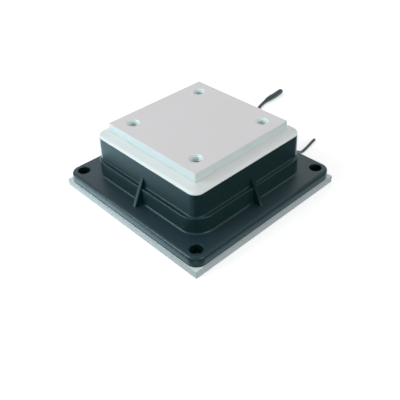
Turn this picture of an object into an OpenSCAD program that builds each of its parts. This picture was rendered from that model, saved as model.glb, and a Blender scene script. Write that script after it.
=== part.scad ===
// Thermoelectric cooler module: a chip clamped between a hot plate and a cold block,
// held in a moulded frame with a square tower. Millimetres, +Z up.
// The origin is the centre of the hot plate's underside, and the leads leave towards +Y.

/* [Hot plate] */
// Side of the square hot plate
plate_w = 100; // [97:0.5:120]
// Thickness of the hot plate
plate_t = 4; // [3.5:0.1:6]
// Distance from the plate's edge to the centre of a mounting hole
mount_inset = 6.7; // [6.2:0.1:7.4]
// Diameter of the mounting holes through frame and plate
mount_d = 6.4; // [4:0.1:7]
// Chamfer that breaks the machined edges of plate and block
edge_break = 0.15; // [0.1:0.05:0.5]

/* [Frame] */
// Ledge of bare plate round the foot of the frame
ledge = 0.6; // [0.3:0.1:1.2]
// Height of the flange
flange_h = 5.5; // [5:0.1:7]
// Corner radius of the flange, seen from above
flange_corner_r = 5.6; // [4:0.1:6.5]
// Radius that rounds the flange's top edge
flange_round = 1.4; // [0.4:0.1:2]
// Wall thickness of the moulding
wall = 2.2; // [1.8:0.1:2.6]
// Corner radius of the tower at its top
tower_corner_r = 4.8; // [4:0.1:7]
// Height of the tower above the flange
tower_h = 21.3; // [19:0.1:25]
// Widening of each upper wall from the tower's top down to the shoulder
tower_draft = 0.4; // [0.1:0.1:0.8]
// Height of the plinth round the tower's foot
plinth_h = 8.8; // [5:0.1:10]
// Corner radius of the plinth at its top
plinth_corner_r = 10.1; // [7:0.1:11]
// Widening of each plinth wall from its top down to the flange
plinth_draft = 0.2; // [0.1:0.1:1]
// Height that the plinth's ledge rises to the upper wall
shoulder_h = 0.3; // [0.2:0.1:3]
// Distance that the plinth stands out past the upper wall
plinth_step = 2; // [0.5:0.1:2.5]
// Fillet where the plinth meets the flange
foot_fillet = 0.9; // [0.3:0.1:1.5]
// Thickness of a gusset
gusset_t = 2; // [1.2:0.1:3]
// Distance that a gusset's foot stands out past the plinth
gusset_reach = 4.6; // [3:0.1:7]
// Height of a gusset above the flange
gusset_h = 14.5; // [11:0.1:17]

/* [Cold block] */
// Side of the cold block's square head
block_w = 63; // [60:0.5:65]
// Height of bare block above the insulating collar
block_rise = 4.5; // [2:0.1:6]
// Height of the block's head
head_h = 14; // [12:0.5:16]
// Side of the square stem that stands on the chip
stem_w = 42; // [40:0.5:43.5]
// Pitch of the tapped holes in the cold face
tap_pitch = 45.4; // [40:0.2:50]
// Diameter of the tapped holes
tap_d = 6; // [3:0.5:8]
// Depth of the tapped holes
tap_depth = 10; // [6:0.5:11]
// Chamfer at the mouth of a tapped hole
tap_chamfer = 0.4; // [0.2:0.1:0.8]

/* [Insulating collar] */
// Thickness of the collar on top of the tower, at the block
collar_t = 2.8; // [2.6:0.1:5]
// Height of the collar's upright outer edge
collar_edge = 0.2; // [0.1:0.1:0.5]
// Radius between that edge and the collar's sloping top
collar_round = 1.6; // [1:0.1:2]
// Thickness of the collar's skirt, between the block and the tower's wall
skirt_t = 2.8; // [1.5:0.1:4]
// Clearance of the collar to the block and to the tower
collar_fit = 0.2; // [0.1:0.05:0.3]

/* [Chip] */
// Side of the chip's ceramic plates
chip_w = 40; // [38:0.5:42]
// Thickness of a ceramic plate
ceramic_t = 0.7; // [0.5:0.05:1]
// Thickness of a copper bridge
bridge_t = 0.3; // [0.2:0.05:0.4]
// Side of a semiconductor leg
leg_w = 1.4; // [1:0.1:1.6]
// Height of a semiconductor leg
leg_h = 1.6; // [1.5:0.1:2]
// Number of leg places along one side of the chip, an even number
leg_rows = 16; // [8:2:16]
// Bare ceramic between the chip's edge and the first leg
chip_border = 1.3; // [1.1:0.05:1.8]
// Bare ceramic outside the sealant ring
seal_inset = 0.2; // [0.1:0.05:0.3]
// Gap between the sealant ring and the legs
seal_gap = 0.3; // [0.1:0.05:0.4]
// Thickness of a layer of thermal grease
grease_t = 0.2; // [0.1:0.05:0.3]

/* [Clamp screws and foam] */
// Foam left between the block's stem and a screw's sleeve
foam_web = 1.5; // [1:0.1:2.5]
// Thread diameter of a clamp screw
screw_d = 4; // [3:0.5:4]
// Head diameter of a countersunk clamp screw
screw_head_d = 8; // [6:0.5:8]
// Depth of the screw heads below the hot face
screw_sink = 0.1; // [0.05:0.05:0.3]
// Width across the flats of the hexagon socket
socket_af = 2.5; // [2:0.1:3]
// Depth of the hexagon socket
socket_depth = 1.6; // [1:0.1:2]
// Length of thread in the cold block
thread_l = 8; // [5:0.5:9]
// Wall of a screw's insulating sleeve
sleeve_wall = 1.2; // [0.8:0.1:1.4]
// Clearance of the foam to what it surrounds
foam_fit = 0.3; // [0.2:0.05:0.5]

/* [Leads] */
// Outer diameter of a lead
lead_d = 1.7; // [1.2:0.1:1.8]
// Distance of a lead's exit from the middle of the side
lead_x = 22; // [19:0.5:30]
// Clearance between a lead and its slot in the frame
slot_fit = 0.6; // [0.4:0.1:0.9]
// Outer diameter of the shrink sleeve on the lead
shrink_d = 2.25; // [2.1:0.05:2.6]
// Outer diameter of the shrink sleeve over the joint at the lead's end
shrink_end_d = 3.8; // [3:0.1:4]

/* [Hidden] */

$fn = 64;
// Overlap of a cutter past the face that it cuts
cut = 1;
// Slack between faces that only just clear each other
slack = 0.05;

// Heights of the stack
z_flange = plate_t + flange_h;
z_plinth = z_flange + plinth_h;
z_shoulder = z_plinth + shoulder_h;
z_tower = z_flange + tower_h;
z_collar = z_tower + collar_t;
z_top = z_collar + block_rise;
z_head = z_top - head_h;
z_hot_ceramic = plate_t + grease_t;
z_hot_bridge = z_hot_ceramic + ceramic_t;
z_leg = z_hot_bridge + bridge_t;
z_cold_bridge = z_leg + leg_h;
z_cold_ceramic = z_cold_bridge + bridge_t;
z_cold_grease = z_cold_ceramic + ceramic_t;
z_stem = z_cold_grease + grease_t;
z_lead = (z_hot_bridge + z_cold_ceramic) / 2;

// Half widths, from the axis
flange_half = plate_w / 2 - ledge;
block_half = block_w / 2;
cavity_half = block_half + skirt_t + 2 * collar_fit;
tower_half = cavity_half + wall;
shoulder_half = tower_half + tower_draft;
plinth_half = shoulder_half + plinth_step;
foot_half = plinth_half + plinth_draft;
mount_half = plate_w / 2 - mount_inset;
flange_centre = flange_half - flange_corner_r;
tower_centre = tower_half - tower_corner_r;
plinth_centre = plinth_half - plinth_corner_r;
boss_r = mount_d / 2 + wall;

// Grid of legs in the chip
leg_last = leg_rows - 1;
leg_edge = chip_w / 2 - chip_border - leg_w / 2;
leg_pitch = 2 * leg_edge / leg_last;
pad_edge = leg_edge + leg_w / 2;
seal_half = chip_w / 2 - seal_inset;

// Clamp screws: the head's cone is as high as it is wide on each side
screw_land = 0.2;
screw_cone_h = (screw_head_d - screw_d) / 2;
screw_cone_z = screw_sink + screw_land;
plate_clear = 0.6;
thread_clear = 0.1;
thread_spare = 1;
sleeve_bore = screw_d + 0.4;
sleeve_d = sleeve_bore + 2 * sleeve_wall;
sleeve_end_gap = 0.2;

// The space inside the foam for the chip and the stem, and the clamp screws round it
foam_bore_half = max(chip_w, stem_w) / 2 + foam_fit;
clamp_r = foam_bore_half + foam_web + foam_fit + sleeve_d / 2;

// Lead slots in the frame, and the plugs that seal them in the rim
slot_w = lead_d + slot_fit;
seal_recess = 0.2;
drill_point = 118;

// Solder joints on the chip's two pads
solder_l = 1.5;
solder_rise = 0.8;
lead_start_gap = 0.1;

// Routes of the leads: from the solder joint, out under the flange and down to the table
red_route = [
    [-18, 18.8, 6], [-18, 21, 6], [-18.6, 24, 6], [-20, 28, 6], [-21.4, 32, 6], [-22, 36, 6],
    [-22, 40, 6], [-22, 44, 6], [-22, 48, 6], [-22, 51, 6], [-22.2, 54, 5.2], [-22.6, 57, 3.4],
    [-23.2, 60, 1.6], [-24, 63, 0.85], [-25.1, 66.5, 0.85], [-26.3, 70.5, 0.85], [-27.6, 74.5, 0.85],
    [-28.85, 78.5, 0.9], [-30.2, 83, 1.1], [-31.6, 88, 1.2], [-32.2, 92, 1.5], [-32.3, 96, 1.9],
    [-32.4, 100, 1.9], [-32.8, 104, 1.9], [-33.2, 107, 1.9]
];
black_route = [
    [18, 18.8, 6], [18, 21, 6], [18.6, 24, 6], [20, 28, 6], [21.4, 32, 6], [22, 36, 6],
    [22, 40, 6], [22, 44, 6], [22, 48, 6], [22, 50, 6], [22, 53, 5.2], [21.9, 56, 3.4],
    [21.7, 59, 1.6], [21.5, 62, 0.85], [20.9, 66, 0.85], [20.1, 70, 0.85], [19.3, 73.5, 0.85],
    [18.8, 76.5, 0.85]
];
// The sleeve's own route, each point with the share of the way from the slim to the full diameter
sleeve_route = [
    [-30.34, 83.5, 1.13], [-31.6, 88, 1.2], [-32.2, 92, 1.5], [-32.3, 96, 1.9], [-32.4, 100, 1.9],
    [-32.8, 104, 1.9], [-33.3, 107.5, 1.9], [-33.5, 108.9, 1.9], [-33.6, 109.7, 1.9]
];
sleeve_fullness = [0, 0, 0.3, 0.95, 1, 1, 0.95, 0.6, -0.4];
// The last point of that route that the bore reaches
sleeve_bore_end = 6;
// Sides of the cords and of the sleeve
cord_sides = 8;
sleeve_sides = 12;

// Places of the four-fold features
corners = [[1, 1], [-1, 1], [-1, -1], [1, -1]];
quarter_turns = [0, 90, 180, 270];

// Colours
aluminium = [0.8, 0.81, 0.81];
moulding_black = [0.08, 0.12, 0.12];
collar_white = [0.93, 0.94, 0.93];
copper = [0.72, 0.45, 0.2];
ceramic_white = [0.95, 0.95, 0.93];

// Square of the given half width with rounded corners
module rounded_square(half, r) {
    square([2 * half, 2 * (half - r)], center = true);
    square([2 * (half - r), 2 * half], center = true);
    for (p = corners) translate((half - r) * p) circle(r);
}

// Sweeps a half-section round a rounded square whose corner centres lie at the given distance
module sweep_round(centre) {
    for (turn = quarter_turns) rotate(turn) {
        translate([0, centre, 0]) rotate([90, 0, 90])
            linear_extrude(2 * centre, center = true) children();
        translate([centre, centre, 0]) rotate_extrude(angle = 90) children();
    }
}

// Half-section of a slab from z0 to z1 with its outer top edge rounded
module rounded_edge_section(r, z0, z1, edge) {
    translate([0, z0]) square([r, z1 - z0 - edge]);
    translate([0, z0]) square([r - edge, z1 - z0]);
    translate([r - edge, z1 - edge]) intersection() {
        circle(edge);
        square(edge);
    }
}

// Slab with rounded corners and a rounded top edge
module rounded_slab(half, r, z0, z1, edge) {
    sweep_round(half - r) rounded_edge_section(r, z0, z1, edge);
    translate([0, 0, z0]) linear_extrude(z1 - z0) square(2 * (half - r), center = true);
}

// Outline of a rectangle with chamfered corners
module chamfered_outline(w, h, chamfer) {
    x = w / 2;
    y = h / 2;
    polygon([
        [x - chamfer, -y], [x, chamfer - y], [x, y - chamfer], [x - chamfer, y],
        [chamfer - x, y], [-x, y - chamfer], [-x, chamfer - y], [chamfer - x, -y]
    ]);
}

// Square block standing on z = 0 with every edge broken
module broken_block(w, h) {
    translate([0, 0, h / 2]) intersection() {
        linear_extrude(h, center = true) chamfered_outline(w, w, edge_break);
        for_side(0) linear_extrude(w, center = true) chamfered_outline(w, h, edge_break);
        for_side(90) linear_extrude(w, center = true) chamfered_outline(w, h, edge_break);
    }
}

// Turns an extrusion so that it lies along Y, then about the axis
module for_side(turn) {
    rotate([90, 0, turn]) children();
}

// Square layer of the given width between two heights
module square_layer(w, z0, z1) {
    translate([0, 0, z0]) linear_extrude(z1 - z0) square(w, center = true);
}

// Repeats its children at the four clamp screws
module at_clamps() {
    for (turn = quarter_turns) rotate(turn) translate([clamp_r, 0, 0]) children();
}

// Repeats its children at the four mounting holes
module at_mounts() {
    for (p = corners) translate(mount_half * p) children();
}

// Seat of a countersunk screw: the head's space, widened by the given slack, and its cone
module countersink(slack_r) {
    translate([0, 0, -cut]) cylinder(d = screw_head_d + 2 * slack_r, h = cut + screw_cone_z);
    translate([0, 0, screw_cone_z]) cylinder(d1 = screw_head_d, d2 = screw_d, h = screw_cone_h);
}

module hot_plate() {
    color(aluminium) difference() {
        broken_block(plate_w, plate_t);
        at_mounts() translate([0, 0, -cut]) cylinder(d = mount_d, h = plate_t + 2 * cut);
        at_clamps() {
            countersink(slack);
            cylinder(d = screw_d + plate_clear, h = plate_t + cut);
        }
    }
}

module clamp_screws() {
    color("silver") at_clamps() difference() {
        union() {
            translate([0, 0, screw_sink]) cylinder(d = screw_head_d, h = screw_land);
            translate([0, 0, screw_cone_z]) cylinder(d1 = screw_head_d, d2 = screw_d, h = screw_cone_h);
            translate([0, 0, screw_cone_z]) cylinder(d = screw_d, h = z_head + thread_l - screw_cone_z);
        }
        translate([0, 0, screw_sink - cut])
            cylinder(d = socket_af / cos(30), h = socket_depth + cut, $fn = 6);
    }
}

module insulating_sleeves() {
    color("ivory") at_clamps() translate([0, 0, plate_t]) difference() {
        sleeve_h = z_head - plate_t - sleeve_end_gap;
        cylinder(d = sleeve_d, h = sleeve_h);
        translate([0, 0, -cut]) cylinder(d = sleeve_bore, h = sleeve_h + 2 * cut);
    }
}

module hot_grease() {
    color("whitesmoke") square_layer(chip_w, plate_t, z_hot_ceramic);
}

module cold_grease() {
    color("whitesmoke") square_layer(chip_w, z_cold_grease, z_stem);
}

module hot_ceramic() {
    color(ceramic_white) square_layer(chip_w, z_hot_ceramic, z_hot_bridge);
}

module cold_ceramic() {
    color(ceramic_white) square_layer(chip_w, z_cold_ceramic, z_cold_grease);
}

// Place of a leg: rows run along X, and columns run from the lead side towards -Y
function leg_place(row, column) = [row * leg_pitch - leg_edge, leg_edge - column * leg_pitch];

// The two places at the lead side that carry a solder joint in place of a leg
function is_pad(row, column) = column == 0 && (row == 0 || row == leg_last);

// Legs of one kind: the two kinds alternate along the winding path, like a chess board
module legs(kind) {
    for (row = [0:leg_last], column = [0:leg_last])
        if ((row + column) % 2 == kind && !is_pad(row, column))
            translate(concat(leg_place(row, column) - [leg_w, leg_w] / 2, z_leg)) cube([leg_w, leg_w, leg_h]);
}

// Copper bridge from one leg place to the next one along X or Y
module bridge(from, to, z) {
    low = [min(from[0], to[0]), min(from[1], to[1])] - [leg_w, leg_w] / 2;
    size = [abs(from[0] - to[0]), abs(from[1] - to[1])] + [leg_w, leg_w];
    translate(concat(low, z)) cube(concat(size, bridge_t));
}

module p_legs() {
    color("dimgray") legs(0);
}

module n_legs() {
    color("slategray") legs(1);
}

// Hot bridges join the legs in pairs along each row
module hot_bridges() {
    color(copper) for (row = [0:leg_last], column = [0:2:leg_last])
        bridge(leg_place(row, column), leg_place(row, column + 1), z_hot_bridge);
}

// Cold bridges join the pairs into one winding path, and turn it round at the ends of the rows
module cold_bridges() {
    color(copper) {
        for (row = [0:leg_last], column = [1:2:leg_last - 1])
            bridge(leg_place(row, column), leg_place(row, column + 1), z_cold_bridge);
        for (row = [0:2:leg_last])
            bridge(leg_place(row, leg_last), leg_place(row + 1, leg_last), z_cold_bridge);
        for (row = [1:2:leg_last - 1])
            bridge(leg_place(row, 0), leg_place(row + 1, 0), z_cold_bridge);
    }
}

// Repeats its children at the two pads, at the height of the leads
module at_pads() {
    for (side = [-1, 1]) translate([side * leg_edge, 0, z_lead]) children();
}

module chip_seal() {
    color("snow") difference() {
        square_layer(2 * seal_half, z_hot_bridge, z_cold_ceramic);
        square_layer(2 * (pad_edge + seal_gap), z_hot_bridge - cut, z_cold_ceramic + cut);
        at_pads() rotate([-90, 0, 0]) cylinder(d = lead_d + 2 * slack, h = chip_w);
    }
}

module solder_joints() {
    color("lightgray") at_pads() translate([0, pad_edge + lead_start_gap, z_leg - z_lead]) {
        translate([-leg_w / 2, -solder_l, 0]) cube([leg_w, solder_l, solder_rise]);
        translate([0, 0, solder_rise]) rotate([90, 0, 0]) cylinder(d = leg_w, h = solder_l);
    }
}

// Tapped hole from the cold face down, with a chamfered mouth and a drilled end
module tapped_hole() {
    r = tap_d / 2;
    z_point = -tap_depth - r / tan(drill_point / 2);
    rotate_extrude() polygon([
        [0, z_point], [r, -tap_depth], [r, -tap_chamfer], [r + tap_chamfer + cut, cut], [0, cut]
    ]);
}

module cold_block() {
    color(aluminium) difference() {
        union() {
            translate([0, 0, z_head]) broken_block(block_w, head_h);
            square_layer(stem_w, z_stem, z_head + head_h / 2);
        }
        for (p = corners) translate(concat(tap_pitch / 2 * p, z_top)) tapped_hole();
        at_clamps() translate([0, 0, z_head - cut])
            cylinder(d = screw_d + thread_clear, h = cut + thread_l + thread_spare);
    }
}

// The troughs in the foam for the leads
trough_low = min(leg_edge, lead_x) - lead_d;
trough_high = max(leg_edge, lead_x) + lead_d;

module foam_fill() {
    color("khaki") difference() {
        translate([0, 0, plate_t]) linear_extrude(z_head - plate_t)
            rounded_square(cavity_half - foam_fit, tower_corner_r - wall);
        square_layer(2 * foam_bore_half, plate_t - cut, z_head + cut);
        at_clamps() cylinder(d = sleeve_d + 2 * foam_fit, h = z_head + cut);
        for (side = [0, 1]) mirror([side, 0, 0])
            translate([trough_low, 0, plate_t - cut])
                cube([trough_high - trough_low, cavity_half + cut, z_lead + slot_w / 2 - plate_t + cut]);
    }
}

// Half width of the upper wall at a height, between the shoulder and the tower's top
function wall_half(z) = tower_half + tower_draft * (z_tower - z) / (z_tower - z_shoulder);

// Half-section of the tower's upper wall, which runs on down to the plate inside the plinth
module tower_section() {
    plate_r = tower_corner_r + wall_half(plate_t) - tower_half;
    polygon([[0, plate_t], [plate_r, plate_t], [tower_corner_r, z_tower], [0, z_tower]]);
}

// Half-section of the plinth: a leaning wall, coved at its foot, under a ledge that meets the upper wall
module plinth_section() {
    foot_r = plinth_corner_r + plinth_draft;
    ledge_r = plinth_corner_r - plinth_step - wall / 2;
    z_ledge = z_plinth + shoulder_h * (1 + wall / 2 / plinth_step);
    lean = plinth_draft / plinth_h;
    cove_in = 0.98 * foot_fillet;
    cove = [foot_r + cove_in * (norm([1, lean]) - lean), z_flange + cove_in];
    polygon([
        [0, plate_t], [foot_r, plate_t], [foot_r, z_flange], [plinth_corner_r, z_plinth],
        [ledge_r, z_ledge], [0, z_ledge]
    ]);
    difference() {
        translate([foot_r - wall / 2, z_flange - wall / 2])
            square(cove - [foot_r - wall / 2, z_flange - wall / 2]);
        translate(cove) circle(foot_fillet);
    }
}

// Triangular gusset on the +X side, from the flange up to the tower's wall
module gusset() {
    root = cavity_half + wall / 2;
    bury = wall / 2;
    z_gusset = z_flange + gusset_h;
    rotate([90, 0, 0]) linear_extrude(gusset_t, center = true) polygon([
        [root, z_flange - bury], [foot_half + gusset_reach, z_flange - bury],
        [foot_half + gusset_reach, z_flange], [wall_half(z_gusset), z_gusset], [root, z_gusset]
    ]);
}

// Plan of the hollow under the flange, which leaves the rim, the inner wall and a boss round each hole
module flange_hollow_plan() {
    difference() {
        rounded_square(flange_half - wall, flange_corner_r - wall);
        rounded_square(tower_half, tower_corner_r);
        at_mounts() circle(boss_r);
    }
}

// Section of a lead's slot, open towards the plate, made smaller all round by the given amount
module slot_section(less) {
    r = slot_w / 2 - less;
    translate([0, z_lead]) circle(r);
    translate([-r, plate_t + less]) square([2 * r, z_lead - plate_t - less]);
}

// Repeats its children at the two slots, laid along Y from the given distance outwards
module at_slots(y0) {
    for (side = [-1, 1]) translate([side * lead_x, y0, 0]) rotate([90, 0, 180]) children();
}

module frame() {
    color(moulding_black) difference() {
        union() {
            rounded_slab(flange_half, flange_corner_r, plate_t, z_flange, flange_round);
            sweep_round(tower_centre) tower_section();
            sweep_round(plinth_centre) plinth_section();
            for (turn = quarter_turns) rotate(turn) gusset();
        }
        translate([0, 0, plate_t - cut]) linear_extrude(z_tower - plate_t + 2 * cut)
            rounded_square(cavity_half, tower_corner_r - wall);
        translate([0, 0, plate_t - cut]) linear_extrude(flange_h - wall + cut) flange_hollow_plan();
        at_mounts() cylinder(d = mount_d, h = z_flange + cut);
        at_slots(cavity_half - cut) {
            linear_extrude(flange_half) slot_section(0);
            translate([-slot_w / 2, plate_t - cut, 0]) cube([slot_w, 2 * cut, flange_half]);
        }
    }
}

// Plugs of sealant in the slots of the rim, each round its lead
module lead_seals() {
    color("gray") at_slots(flange_half - wall) linear_extrude(wall - seal_recess) difference() {
        slot_section(slack);
        translate([0, z_lead]) circle(d = lead_d + 2 * slack);
    }
}

// Half-section of the collar above the tower: its top slopes down to a rounded outer edge
module collar_section() {
    top = [0, z_collar];
    middle = [tower_corner_r - collar_round, z_tower + collar_edge];
    across = middle - top;
    near = 0.996 * collar_round;
    fall = atan2(across[1], across[0]) + asin(near / norm(across));
    end = top + sqrt(across * across - near * near) * [cos(fall), sin(fall)];
    polygon([top, [0, z_tower], [middle[0], z_tower], middle, end]);
    translate([0, z_tower]) square([tower_corner_r, collar_edge]);
    translate(middle) intersection() {
        circle(collar_round);
        translate([-collar_round, 0]) square([2 * collar_round, collar_round]);
    }
}

module insulating_collar() {
    color(collar_white) difference() {
        union() {
            sweep_round(tower_centre) collar_section();
            square_layer(2 * tower_centre, z_tower, z_collar);
            translate([0, 0, z_head]) linear_extrude(z_tower + collar_edge - z_head)
                rounded_square(cavity_half - collar_fit, tower_corner_r - wall);
        }
        square_layer(block_w + 2 * collar_fit, z_head - cut, z_collar + cut);
    }
}

// Direction of a route at one of its points
function route_step(points, i) =
    let (step = points[min(i + 1, len(points) - 1)] - points[max(i - 1, 0)]) step / norm(step);

// Ring of points round a route at one of its points
function route_ring(points, i, d, sides) =
    let (
        along = route_step(points, i),
        across = cross(along, [0, 0, 1]),
        side = across / norm(across),
        up = cross(side, along)
    )
    [for (k = [0:sides - 1]) points[i] + d / 2 * (cos(360 * k / sides) * side + sin(360 * k / sides) * up)];

// Closed skin over a row of rings that each have the given number of points
module skin(rings, sides) {
    last = len(rings) - 1;
    walls = [
        for (i = [0:last - 1], k = [0:sides - 1])
            let (a = i * sides + k, b = i * sides + (k + 1) % sides)
            each [[a, a + sides, b], [b, a + sides, b + sides]]
    ];
    start_cap = [for (k = [0:sides - 1]) k];
    end_cap = [for (k = [sides - 1:-1:0]) last * sides + k];
    polyhedron([for (ring = rings) each ring], concat(walls, [start_cap, end_cap]));
}

// Round cord of one diameter along a route
module cord(points, d) {
    skin([for (i = [0:len(points) - 1]) route_ring(points, i, d, cord_sides)], cord_sides);
}

module lead_red() {
    color("firebrick") cord(red_route, lead_d);
}

module lead_black() {
    color([0.12, 0.13, 0.13]) cord(black_route, lead_d);
}

// Shrunk sleeving over the end of the red lead, fuller over the joint and closed at its tip.
// Its skin runs back along the bore, over the open end and forward along the outside.
module shrink_sleeve() {
    grow = shrink_end_d - shrink_d;
    bore_d = (lead_d + 2 * slack) / cos(180 / sleeve_sides);
    bore = [for (i = [sleeve_bore_end:-1:0]) route_ring(sleeve_route, i, bore_d, sleeve_sides)];
    outside = [
        for (i = [0:len(sleeve_route) - 1])
            route_ring(sleeve_route, i, shrink_d + sleeve_fullness[i] * grow, sleeve_sides)
    ];
    color([0.14, 0.16, 0.16]) skin(concat(bore, outside), sleeve_sides);
}

hot_plate();
clamp_screws();
insulating_sleeves();
hot_grease();
hot_ceramic();
hot_bridges();
n_legs();
p_legs();
cold_bridges();
cold_ceramic();
chip_seal();
solder_joints();
cold_grease();
cold_block();
foam_fill();
frame();
insulating_collar();
lead_seals();
lead_red();
lead_black();
shrink_sleeve();
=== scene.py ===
"""Thermoelectric cooler module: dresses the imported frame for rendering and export.

Sizes in the tables below are in millimetres and repeat the part's own values. Roundings that only catch the
light are set here.
"""
import math

import bmesh
import bpy
from mathutils import Matrix, Vector


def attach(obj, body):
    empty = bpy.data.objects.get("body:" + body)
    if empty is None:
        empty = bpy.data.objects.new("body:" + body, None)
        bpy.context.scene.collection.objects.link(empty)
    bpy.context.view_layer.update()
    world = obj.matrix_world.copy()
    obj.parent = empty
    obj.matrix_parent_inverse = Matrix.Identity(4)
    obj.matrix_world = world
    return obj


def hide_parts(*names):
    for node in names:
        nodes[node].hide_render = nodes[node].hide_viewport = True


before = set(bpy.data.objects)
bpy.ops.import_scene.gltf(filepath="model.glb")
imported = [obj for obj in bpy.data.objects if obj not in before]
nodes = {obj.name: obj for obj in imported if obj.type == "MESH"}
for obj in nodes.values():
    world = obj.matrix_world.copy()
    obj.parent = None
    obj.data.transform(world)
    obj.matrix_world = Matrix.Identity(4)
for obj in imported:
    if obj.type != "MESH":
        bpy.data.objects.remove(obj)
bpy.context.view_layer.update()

MM = 0.001
QUARTER = math.pi / 2
SIDES = 4

# Heights in the stack
Z_PLATE = 4.0
Z_FLANGE = 9.5
Z_PLINTH = 18.3
Z_SHOULDER = 18.6
Z_HEAD = 24.1
Z_TOWER = 30.8
Z_COLLAR_EDGE = 32.2
Z_COLLAR = 33.6
Z_TOP = 38.1
Z_LEAD = 6.0

# Half widths and corner centres, from the axis
FLANGE_HALF = 49.4
FLANGE_CENTRE = 43.8
TOWER_HALF = 36.9
TOWER_CENTRE = 32.1
SHOULDER_HALF = 37.3
PLINTH_HALF = 39.3
PLINTH_CENTRE = 29.2
FOOT_HALF = 39.5
CAVITY_HALF = 34.7
SKIRT_HALF = 34.5
OPENING_HALF = 31.52
JUST_INSIDE_HEAD = 31.0

# Other sizes of the moulding
WALL = 2.2
MOUNT_HALF = 43.3
MOUNT_R = 3.2
GUSSET_T = 2.0
GUSSET_REACH = 44.1
GUSSET_TOP = 24.0
GUSSET_ROOT = 35.8
GUSSET_SINK = 0.8
GUSSET_TOE = 0.04
SLOT_X = 22.0
SLOT_W = 2.3

# Roundings of the moulding's edges
TOWER_EDGE_R = 0.3
SHOULDER_R = 0.5
PLINTH_R = 0.4
FOOT_R = 0.9
FLANGE_R = 1.4
FLANGE_FOOT_R = 0.15
HOLLOW_R = 0.3
HIDDEN_R = 0.1
MOUTH_R = 0.35
GUSSET_R = 0.35

# Roundings of the collar's edges, and of the corners of its opening and crest
COLLAR_R = 1.6
COLLAR_FOOT_R = 0.12
SKIRT_R = 0.2
LIP_R = 0.05
CREST_R = 0.5
OPENING_CORNER_R = 0.1
CREST_CORNER_R = 0.3

# How far the cutting tools run past the faces that they cut
HOLE_PAST = 2.0
SLOT_PAST = 1.0
MOUTH_FLARE = 0.25
MOUTH_LIFT = 0.06

# Threads in the cold face. The flank is a share of the pitch
TAP_HALF = 22.7
TAP_R = 3.0
TAP_MOUTH = 0.5
TAP_DEPTH = 10.0
THREAD_PITCH = 1.0
THREAD_DEPTH = 0.5
THREAD_START = 0.2
THREAD_SPARE = 0.8
THREAD_FLANK = 0.46

# Leads: the routes of the part, from the solder joints to their ends
LEAD_D = 1.7
LEAD_EXIT = 8
RED_ROUTE = [
    (-18, 18.8, 6), (-18, 21, 6), (-18.6, 24, 6), (-20, 28, 6), (-21.4, 32, 6), (-22, 36, 6),
    (-22, 40, 6), (-22, 44, 6), (-22, 47.4, 6), (-22, 51, 6), (-22.2, 54, 5.2), (-22.6, 57, 3.4),
    (-23.2, 60, 1.6), (-24, 63, 0.85), (-25.1, 66.5, 0.85), (-26.3, 70.5, 0.85), (-27.6, 74.5, 0.85),
    (-28.85, 78.5, 0.9), (-30.2, 83, 1.1), (-31.6, 88, 1.2), (-32.2, 92, 1.5), (-32.3, 96, 1.9),
    (-32.4, 100, 1.9), (-32.8, 104, 1.9), (-33.2, 107, 1.9),
]
BLACK_ROUTE = [
    (18, 18.8, 6), (18, 21, 6), (18.6, 24, 6), (20, 28, 6), (21.4, 32, 6), (22, 36, 6),
    (22, 40, 6), (22, 44, 6), (22, 47.4, 6), (22, 50, 6), (22, 53, 5.2), (21.9, 56, 3.4),
    (21.7, 59, 1.6), (21.5, 62, 0.85), (20.9, 66, 0.85), (20.1, 70, 0.85), (19.3, 73.5, 0.85),
    (18.8, 76.5, 0.85),
]
# Points of the sleeve, each with its radius
SLEEVE_ROUTE = [
    (-30.17, 82.9, 1.12, 1.10), (-31.05, 86, 1.16, 1.12), (-31.6, 88, 1.2, 1.12), (-32, 90.2, 1.3, 1.18),
    (-32.2, 92, 1.5, 1.36), (-32.27, 94, 1.75, 1.66), (-32.3, 96, 1.88, 1.84), (-32.35, 98, 1.9, 1.9),
    (-32.4, 100, 1.9, 1.88), (-32.55, 102, 1.9, 1.86), (-32.8, 104, 1.9, 1.88), (-33.05, 105.8, 1.9, 1.88),
    (-33.3, 107.5, 1.9, 1.84), (-33.45, 108.6, 1.9, 1.6), (-33.55, 109.3, 1.9, 1.2), (-33.6, 109.7, 1.9, 0.6),
]

# Steps of the round stretches in each mesh
FRAME_EDGE_STEPS = 6
COLLAR_EDGE_STEPS = 8
CORNER_STEPS = 22
MOUTH_STEPS = 6
HOLE_STEPS = 48
SLOT_STEPS = 12
GUSSET_EDGE_STEPS = 4
THREAD_STEPS = 32
LEAD_ROUND_STEPS = 7
LEAD_LENGTH_STEPS = 8

# Points closer than this, in metres, are merged, and faces within this angle count as flat
MERGE = 1e-7
FLAT_DEG = 0.5


# Object and node helpers


def new_object(name, data):
    """Adds an object to the scene for a mesh, a curve, a lamp or a camera."""
    made = bpy.data.objects.new(name, data)
    bpy.context.scene.collection.objects.link(made)
    return made


def plain_copy(name, source):
    """Turns an object with modifiers into a plain mesh object."""
    bpy.context.view_layer.update()
    graph = bpy.context.evaluated_depsgraph_get()
    mesh = bpy.data.meshes.new_from_object(source.evaluated_get(graph))
    mesh.name = name
    return new_object(name, mesh)


def add_node(tree, kind, inputs=None, **settings):
    """Adds a node. Inputs are keyed by name or index and hold a socket to link or a plain value."""
    made = tree.nodes.new(kind)
    for key, value in settings.items():
        setattr(made, key, value)
    for key, value in (inputs or {}).items():
        if isinstance(value, bpy.types.NodeSocket):
            tree.links.new(value, made.inputs[key])
        else:
            made.inputs[key].default_value = value
    return made


def maths(tree, operation, a, b=0.0):
    """Adds a Math node and returns its value."""
    return add_node(tree, "ShaderNodeMath", {0: a, 1: b}, operation=operation).outputs[0]


def mean(tree, a, b):
    """Mean of two values."""
    return maths(tree, "MULTIPLY", maths(tree, "ADD", a, b), 0.5)


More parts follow.
